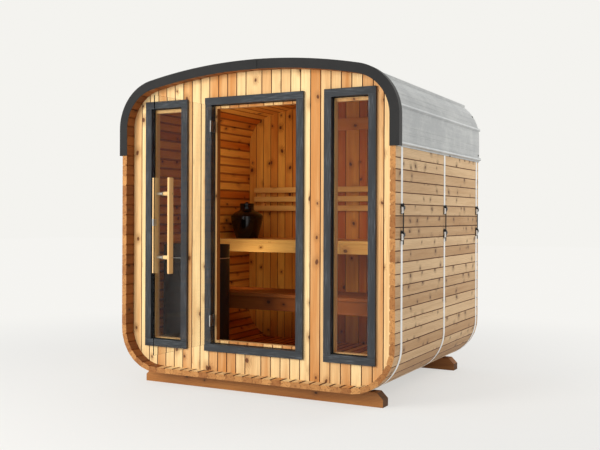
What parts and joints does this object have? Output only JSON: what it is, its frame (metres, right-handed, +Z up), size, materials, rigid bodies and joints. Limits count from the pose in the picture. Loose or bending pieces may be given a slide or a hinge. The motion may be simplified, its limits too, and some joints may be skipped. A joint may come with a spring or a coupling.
{
  "type": "cube sauna",
  "caption": "Free-standing cube sauna cabin: rounded stave shell on two skids, metal roof sheet, fixed windows and a hinged glass door with benches and a heater inside.",
  "frame": {"origin": "middle of the front skid's underside, on the ground", "axes": "+X to the cabin's right as seen from the front, +Y to the back, +Z up; the front with the door faces -Y"},
  "size_m": [2.199, 2.4048, 2.2875],
  "materials": {
    "skid_wood": "oiled, rough sawn",
    "stave_wood": "planed, knotty, matt",
    "board_wood": "planed, knotty, matt",
    "bench_wood": "planed, matt",
    "handle_wood": "planed, oiled",
    "charcoal_paint": "satin charcoal",
    "window_glass": "clear, reflective",
    "door_tint": "bronze tint",
    "roof_steel": "grey galvanised",
    "band_steel": "bright",
    "fitting_steel": "satin",
    "black_paint": "black satin",
    "black_gloss": "black glossy"
  },
  "bodies": {
    "cabin": {"front_skid": "skid_wood", "rear_skid": "skid_wood", "shell_floor": "stave_wood", "shell_side_left": "stave_wood", "shell_side_right": "stave_wood", "shell_corner_left": "stave_wood", "shell_corner_right": "stave_wood", "shell_shoulder_left": "stave_wood", "shell_shoulder_right": "stave_wood", "shell_ceiling": "stave_wood", "front_wall_left_edge": "board_wood", "front_wall_left_infill": "board_wood", "front_wall_left_pier": "board_wood", "front_wall_door_infill": "board_wood", "front_wall_right_pier": "board_wood", "front_wall_right_infill": "board_wood", "front_wall_right_edge": "board_wood", "back_wall": "board_wood", "door_lining": "board_wood", "door_frame_rails": "charcoal_paint", "door_frame_stiles": "charcoal_paint", "window_rails": "charcoal_paint", "window_stiles": "charcoal_paint", "window_linings": "board_wood", "window_glass": "window_glass", "roof_sheet": "roof_steel", "front_trim_left": "charcoal_paint", "front_trim_right": "charcoal_paint", "steel_bands": "band_steel", "band_tensioners": "black_paint", "upper_bench": "bench_wood", "upper_bench_fascia": "bench_wood", "lower_bench": "bench_wood", "lower_bench_fascia": "bench_wood", "backrest_slats": "bench_wood", "upper_batten": "bench_wood", "heater": "black_paint", "water_jug": "black_gloss", "hinge_plates": "fitting_steel"},
    "door": {"door_glass": "door_tint", "hinge_leaves": "fitting_steel", "handle_bar_outer": "handle_wood", "handle_bar_inner": "handle_wood", "handle_standoffs": "handle_wood", "door_catch": "fitting_steel"}
  },
  "joints": [
    {"name": "door_hinge", "type": "hinge", "parent": "cabin", "child": "door", "pos_m": [-0.326, -0.076, 1.166], "axis": [0, 0, 1], "range_deg": [0, 93]}
  ]
}
